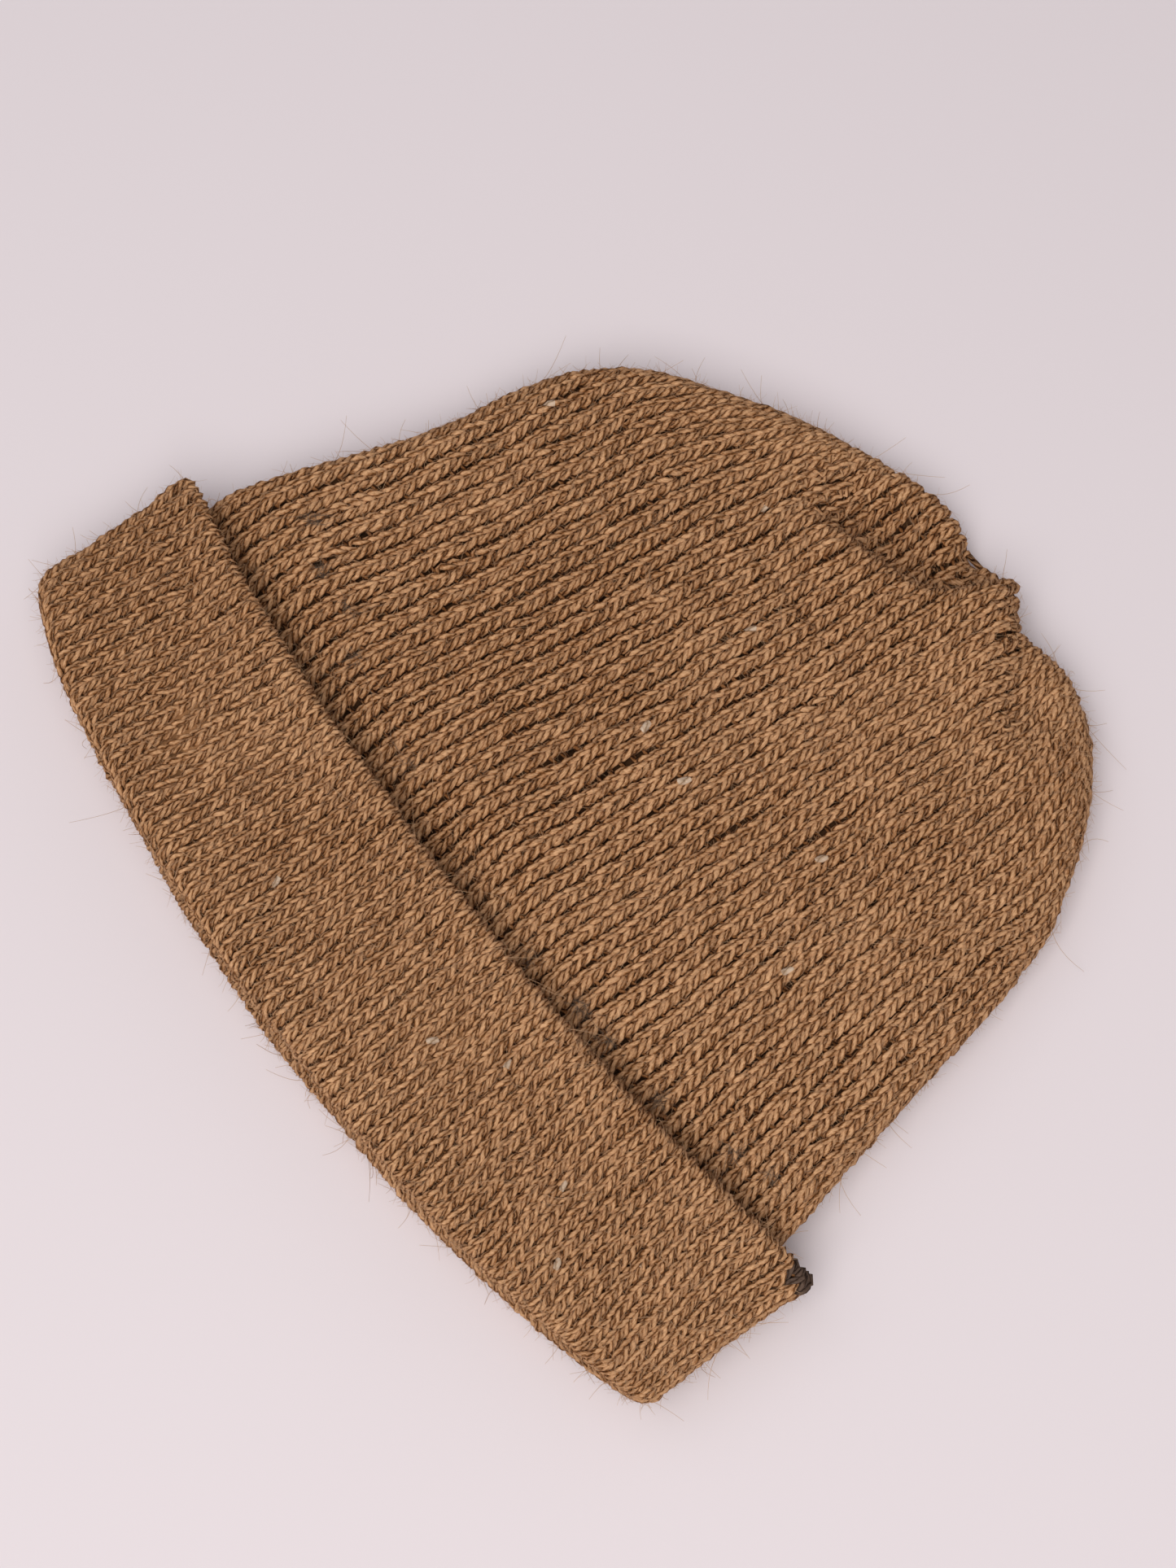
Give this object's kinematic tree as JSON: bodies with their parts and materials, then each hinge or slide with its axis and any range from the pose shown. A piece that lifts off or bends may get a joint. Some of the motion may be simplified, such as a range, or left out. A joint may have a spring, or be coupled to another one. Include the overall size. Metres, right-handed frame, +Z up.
{
  "type": "knitted beanie",
  "caption": "Double-layer wool beanie in stocking stitch, lying flat, with a gathered crown and a turned-up cuff that slides down over the body.",
  "frame": {"origin": "on the table, under the middle of the box round the hat", "axes": "+X across the hat, +Y from the brim fold to the crown, +Z up from the table"},
  "size_m": [0.23, 0.197, 0.026],
  "materials": {
    "wool_body": "camel wool yarn, stocking stitch, slightly fuzzy",
    "wool_cuff": "camel wool yarn, close stocking stitch, slightly fuzzy",
    "wool_lining": "camel wool yarn, stocking stitch",
    "wool_thread": "twisted camel wool yarn",
    "wool_dark": "twisted dark brown wool yarn"
  },
  "bodies": {
    "shell": {"body_outer": "wool_body", "body_lining": "wool_lining", "crown_gather_yarn": "wool_thread", "lining_gather_yarn": "wool_thread", "yarn_tail": "wool_thread"},
    "cuff": {"cuff_outer": "wool_cuff", "cuff_inner": "wool_lining", "edge_stitches": "wool_dark"}
  },
  "joints": [
    {"name": "cuff_turn_down", "type": "slide", "parent": "shell", "child": "cuff", "axis": [0, -1, 0], "range_m": [0, 0.038]}
  ]
}
